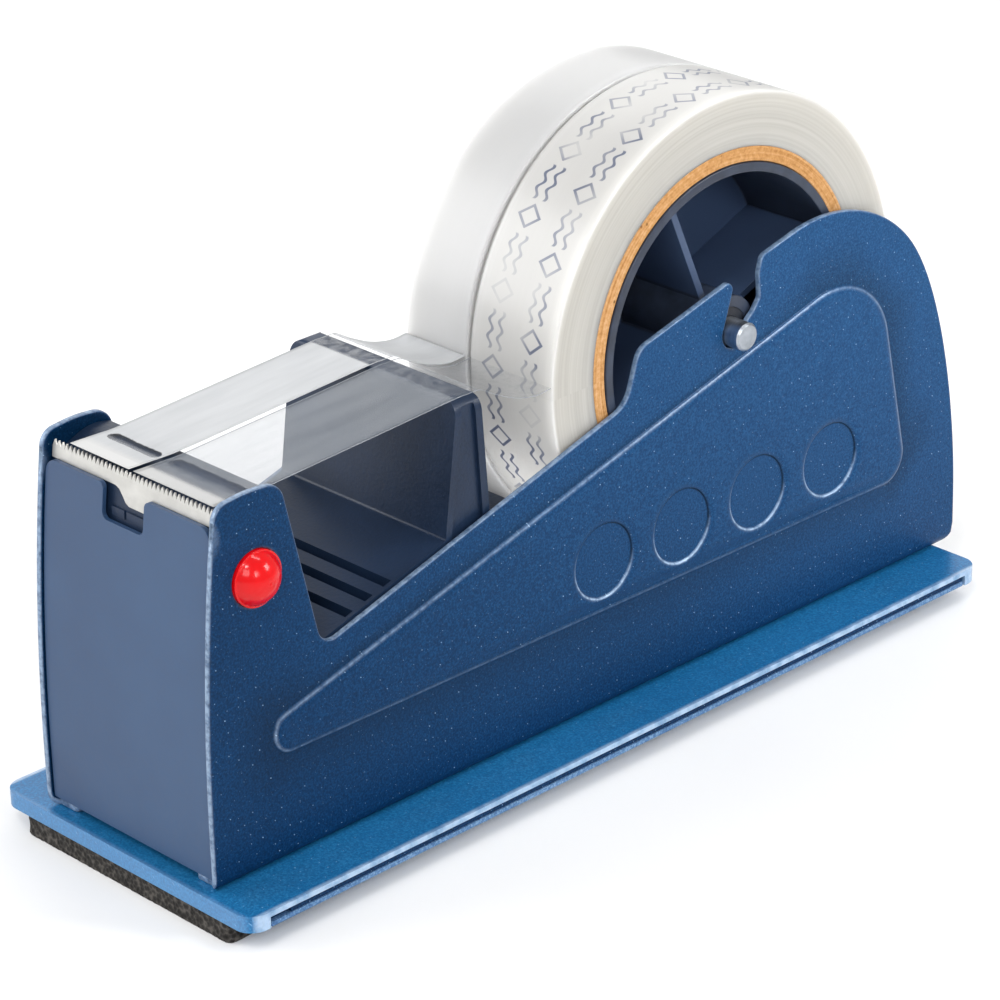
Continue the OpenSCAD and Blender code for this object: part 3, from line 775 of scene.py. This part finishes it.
def ring_profile(x0, x1, r0, r1, rin, rout, step, jitter, foot=0.0):
    """Ring section with rounded rims and slightly uneven wound sides; foot widens the left side below the rim."""
    def arc(cx, cr, rad, a0, a1, n=5):
        return [(cx + rad * math.cos(math.radians(a0 + (a1 - a0) * i / n)), cr + rad * math.sin(math.radians(a0 + (a1 - a0) * i / n))) for i in range(n + 1)]
    p = arc(x1 - rin, r0 + rin, rin, -90, 0)
    for r in np.arange(r0 + rin + step, r1 - rout - step * 0.5, step):
        p.append((x1 - jitter * random.random(), float(r)))
    p += arc(x1 - rout, r1 - rout, rout, 0, 90)
    for x in np.linspace(x1 - rout - 1.0, x0 + rout + 1.0, 9):
        p.append((float(x), r1))
    p += arc(x0 + rout, r1 - rout, rout, 90, 180)
    for r in np.arange(r1 - rout - step, r0 + rin + step * 0.5, -step):
        p.append((x0 - foot * min(1.0, max(0.0, (r1 - rout - r) / 0.5)) + jitter * random.random(), float(r)))
    p += arc(x0 + rin, r0 + rin, rin, 180, 270)
    return p


wide_roll = lathe("wide_roll", ring_profile(WIDE[0], WIDE[1], CORE_R + 0.02, ROLL_R, 0.15, 0.35, 0.45, 0.02, 1.15), 180, MATS["wide"], "spool", ["tape_roll_wide"])
narrow_roll = lathe("narrow_roll", ring_profile(NARROW[0], NARROW[1], CORE_R + 0.02, ROLL_R, 0.15, 0.5, 0.45, 0.08), 180, MATS["narrow"], "spool", ["tape_roll_narrow"])
wide_core = lathe("wide_core", ring_profile(WIDE[0], WIDE[1], BORE_R, CORE_R, 0.3, 0.12, 0.4, 0.08), 160, MATS["board"], "spool", ["core_wide"])
narrow_core = lathe("narrow_core", ring_profile(NARROW[0], NARROW[1], BORE_R, CORE_R, 0.3, 0.12, 0.4, 0.08), 160, MATS["board"], "spool", ["core_narrow"])


# ---------------------------------------------------------------- tape strips
WEB = [(AX_Y - ROLL_R - 0.05, 91.07), (-17.8, 90.82), (-21, 91.27), (-25, 92.47), (-30, 94.87), (-33.6, 96.97), (-35.2, 97.40), (-38, 97.42), (-42, 97.42), (-60, 96.5), (-78, 95.6), (-94, 94.84), (-100, 94.96), (-106.9, 95.19)]


def catmull(points, per=10):
    P = [np.array(p, float) for p in points]
    P = [2 * P[0] - P[1]] + P + [2 * P[-1] - P[-2]]
    out = []
    for i in range(1, len(P) - 2):
        for k in range(per):
            t = k / per
            a, b, c, d = P[i - 1], P[i], P[i + 1], P[i + 2]
            out.append(0.5 * (2 * b + (c - a) * t + (2 * a - 5 * b + 4 * c - d) * t * t + (3 * b - a - 3 * c + d) * t ** 3))
    out.append(P[-2])
    return out


def tape_strip(name, x0, x1, mat, node, seed):
    g = np.random.default_rng(seed)
    path = catmull(WEB)
    n, k = len(path), 17
    ph = g.uniform(0, 6.28, 4)
    top, bot = [], []
    for i, p in enumerate(path):
        q = path[min(i + 1, n - 1)] - path[max(i - 1, 0)]
        q = q / np.linalg.norm(q)
        up = np.array((-q[1], q[0]))
        if up[1] < 0:
            up = -up
        free = math.sin(math.pi * min(1.0, max(0.0, (-42.5 - p[0]) / 50.0))) if p[0] < -42.5 else 0.0
        for j in range(k):
            f = j / (k - 1)
            x = x0 + 0.03 + (x1 - x0 - 0.06) * f
            lit_gradient = 0.035 * free * (math.sin(6.0 * f + ph[0] + p[0] * 0.05) + 0.6 * math.sin(11.0 * f + ph[1]))
            c = p + up * lit_gradient
            top.append(pt(x, c[0] + up[0] * 0.035, c[1] + up[1] * 0.035))
            bot.append(pt(x, c[0] - up[0] * 0.035, c[1] - up[1] * 0.035))
    V = top + bot
    off = n * k
    F = []
    for i in range(n - 1):
        for j in range(k - 1):
            a, b, c, d = i * k + j, i * k + j + 1, (i + 1) * k + j + 1, (i + 1) * k + j
            F.append((a, b, c, d))
            F.append((d + off, c + off, b + off, a + off))
    for i in range(n - 1):
        for j in (0, k - 1):
            a, b = i * k + j, (i + 1) * k + j
            F.append((a, b, b + off, a + off))
    for i in (0, n - 1):
        for j in range(k - 1):
            a, b = i * k + j, i * k + j + 1
            F.append((a, b, b + off, a + off))
    return finish_mesh(name, V, F, mat, "axle_set", [node])


wide_strip = tape_strip("wide_strip", WIDE[0], WIDE[1], MATS["wide_strip"], "tape_web_wide", 3)
narrow_strip = tape_strip("narrow_strip", NARROW[0], NARROW[1], MATS["narrow_strip"], "tape_web_narrow", 5)


# ---------------------------------------------------------------- foam pad
def pad():
    x, y0, y1, r = 33.8, -116.2, 110.0, 2.0
    pts = []
    for cx, cy, a0 in ((x - r, y1 - r, 0), (-x + r, y1 - r, 90), (-x + r, y0 + r, 180), (x - r, y0 + r, 270)):
        for i in range(13):
            a = math.radians(a0 + 90 * i / 12)
            pts.append(np.array((cx + r * math.cos(a), cy + r * math.sin(a))))
    line = []
    for i in range(len(pts)):
        a, b = pts[i], pts[(i + 1) % len(pts)]
        n = max(1, int(round(np.linalg.norm(b - a) / 0.8)))
        line += [a + (b - a) * j / n for j in range(n)]
    line = np.array(line)
    k = len(line)
    tang = np.roll(line, -1, 0) - np.roll(line, 1, 0)
    nrm = np.column_stack((tang[:, 1], -tang[:, 0]))
    nrm /= np.linalg.norm(nrm, axis=1)[:, None]
    levels = [(0.0, 0.55), (0.12, 0.22), (0.45, 0.05), (1.1, 0.12), (1.8, 0.20), (2.5, 0.24), (3.2, 0.20), (3.9, 0.12), (4.5, 0.06), (4.85, 0.2), (5.0, 0.5)]
    V, F = [], []
    for z, dent in levels:
        g = rng.uniform(0, 0.17, k) if 0.0 < z < 5.0 else np.zeros(k)
        zz = rng.uniform(-0.1, 0.1, k) if 0.3 < z < 4.6 else np.zeros(k)
        p = line - nrm * (dent + g)[:, None]
        V += [Vector((p[i, 0] * MM, p[i, 1] * MM, (z + zz[i]) * MM)) for i in range(k)]
    for n in range(len(levels) - 1):
        for i in range(k):
            j = (i + 1) % k
            F.append((n * k + i, n * k + j, (n + 1) * k + j, (n + 1) * k + i))
    F.append(tuple(reversed(range(k))))
    F.append(tuple(range((len(levels) - 1) * k, len(levels) * k)))
    o = finish_mesh("pad", V, F, MATS["foam"], "stand", ["foam_pad"])
    return o


pad_piece = pad()


# ---------------------------------------------------------------- carried-over nodes
def smooth_group():
    g = bpy.data.node_groups.new("soft_shade", "GeometryNodeTree")
    g.interface.new_socket("Geometry", in_out="INPUT", socket_type="NodeSocketGeometry")
    g.interface.new_socket("Geometry", in_out="OUTPUT", socket_type="NodeSocketGeometry")
    i = g.nodes.new("NodeGroupInput")
    o = g.nodes.new("NodeGroupOutput")
    s = g.nodes.new("GeometryNodeSetShadeSmooth")
    s.inputs["Shade Smooth"].default_value = True
    g.links.new(i.outputs[0], s.inputs["Geometry"])
    g.links.new(s.outputs["Geometry"], o.inputs[0])
    return g


SMOOTH = smooth_group()


def dress(node, mat, width=0.0, seg=3, angle=32):
    o = nodes[node]
    o.data.materials.clear()
    o.data.materials.append(mat)
    w = o.modifiers.new("weld", "WELD")
    w.merge_threshold = 1e-6
    if width:
        b = o.modifiers.new("edge", "BEVEL")
        b.width = width * MM
        b.segments = seg
        b.limit_method = "ANGLE"
        b.angle_limit = math.radians(angle)
        b.use_clamp_overlap = True
        b.harden_normals = False
    s = o.modifiers.new("shade", "NODES")
    s.node_group = SMOOTH
    n = o.modifiers.new("normals", "WEIGHTED_NORMAL")
    n.weight = 60
    n.keep_sharp = False


dress("base_cover", MATS["deck"], 0.9, 4)
dress("ballast_plate", MATS["dark"], 0.25)
dress("bottom_sheet", MATS["lip"], 0.25)
dress("base_screws", MATS["zinc"], 0.15)
dress("base_nuts", MATS["zinc"], 0.2)
dress("front_panel", MATS["front"], 0.5, 3)
dress("guide_insert", MATS["slate"], 0.45, 3)
dress("insert_screws", MATS["zinc"], 0.15)
dress("cutter_blade", MATS["blade"], 0.06, 2)
dress("button_right", MATS["red"], 0.3, 4, 25)
dress("button_left", MATS["red"], 0.3, 4, 25)
dress("button_springs", MATS["zinc"])
dress("axle", MATS["zinc"], 0.12)
dress("axle_rings", MATS["zinc"], 0.1)
dress("hub", MATS["hub"], 0.3)
dress("hub_spider", MATS["hub"], 0.25)
dress("hub_bushes", MATS["bush"], 0.2)


# ---------------------------------------------------------------- stage, light, camera
def floor():
    m = Mat("floor_white")
    tone = m.noise(9, 2.0, 0.5)
    m.color(m.ramp(tone, [(0.3, (0.90, 0.90, 0.90, 1)), (0.7, (0.94, 0.94, 0.94, 1))]))
    m.rough(m.range(tone, 0.3, 0.7, 0.7, 0.8))
    m.val(Specular_IOR_Level=0.1)
    me = bpy.data.meshes.new("floor")
    s = 6.0
    me.from_pydata([(-s, -s, 0), (s, -s, 0), (s, s, 0), (-s, s, 0)], [], [(0, 1, 2, 3)])
    me.materials.append(m.m)
    o = bpy.data.objects.new("floor", me)
    scene.collection.objects.link(o)


floor()

world = bpy.data.worlds.new("studio")
world.use_nodes = True
world.node_tree.nodes["Background"].inputs["Color"].default_value = (1.0, 1.0, 1.0, 1.0)
world.node_tree.nodes["Background"].inputs["Strength"].default_value = 0.58
scene.world = world


def area(name, loc, aim, size, power, size_y=None, spread=180):
    d = bpy.data.lights.new(name, "AREA")
    d.energy = power
    d.shape = "RECTANGLE"
    d.size = size
    d.size_y = size_y or size
    d.spread = math.radians(spread)
    o = bpy.data.objects.new(name, d)
    scene.collection.objects.link(o)
    o.location = loc
    o.rotation_euler = (Vector(aim) - Vector(loc)).to_track_quat("-Z", "Y").to_euler()
    return o


area("key", (0.50, -0.80, 1.30), (0, 0, 0.05), 0.2, 3.4, 0.2)
area("top", (0.35, 0.38, 1.5), (0, 0, 0.05), 0.22, 3.4, 0.6)
area("side", (0.80, 0.62, 0.62), (0.03, 0.12, 0.11), 0.35, 0.5, 0.35, 50)
area("fill", (1.10, -0.25, 0.62), (0.01, 0.08, 0.125), 0.45, 0.2, 0.45, 30)
area("front", (0.62, -0.95, 0.75), (0, -0.02, 0.08), 0.5, 3.6, 0.5)
area("left", (-0.95, -0.85, 0.58), (0, 0, 0.06), 0.9, 11.5, 0.9)
area("back", (-0.95, 0.80, 0.80), (0, 0, 0.06), 0.9, 3.2, 0.9)
area("well", (0.013, -0.027, 0.040), (0.013, -0.013, 0.078), 0.018, 0.015, 0.018)

cam = bpy.data.cameras.new("camera")
cam.lens = 145.61
cam.sensor_width = 36.0
cam.clip_start = 0.01
cam.clip_end = 50.0
cam_o = bpy.data.objects.new("camera", cam)
scene.collection.objects.link(cam_o)
R = (0.69234, 0.72112, -0.02558)
U = (-0.28742, 0.30812, 0.90689)
B = (0.66186, -0.62053, 0.42058)
C = (0.591034, -0.559697, 0.427565)
cam_o.matrix_world = Matrix(((R[0], U[0], B[0], C[0]), (R[1], U[1], B[1], C[1]), (R[2], U[2], B[2], C[2]), (0, 0, 0, 1)))
scene.camera = cam_o
scene.view_settings.view_transform = "Standard"
scene.view_settings.look = "None"

bpy.context.view_layer.update()
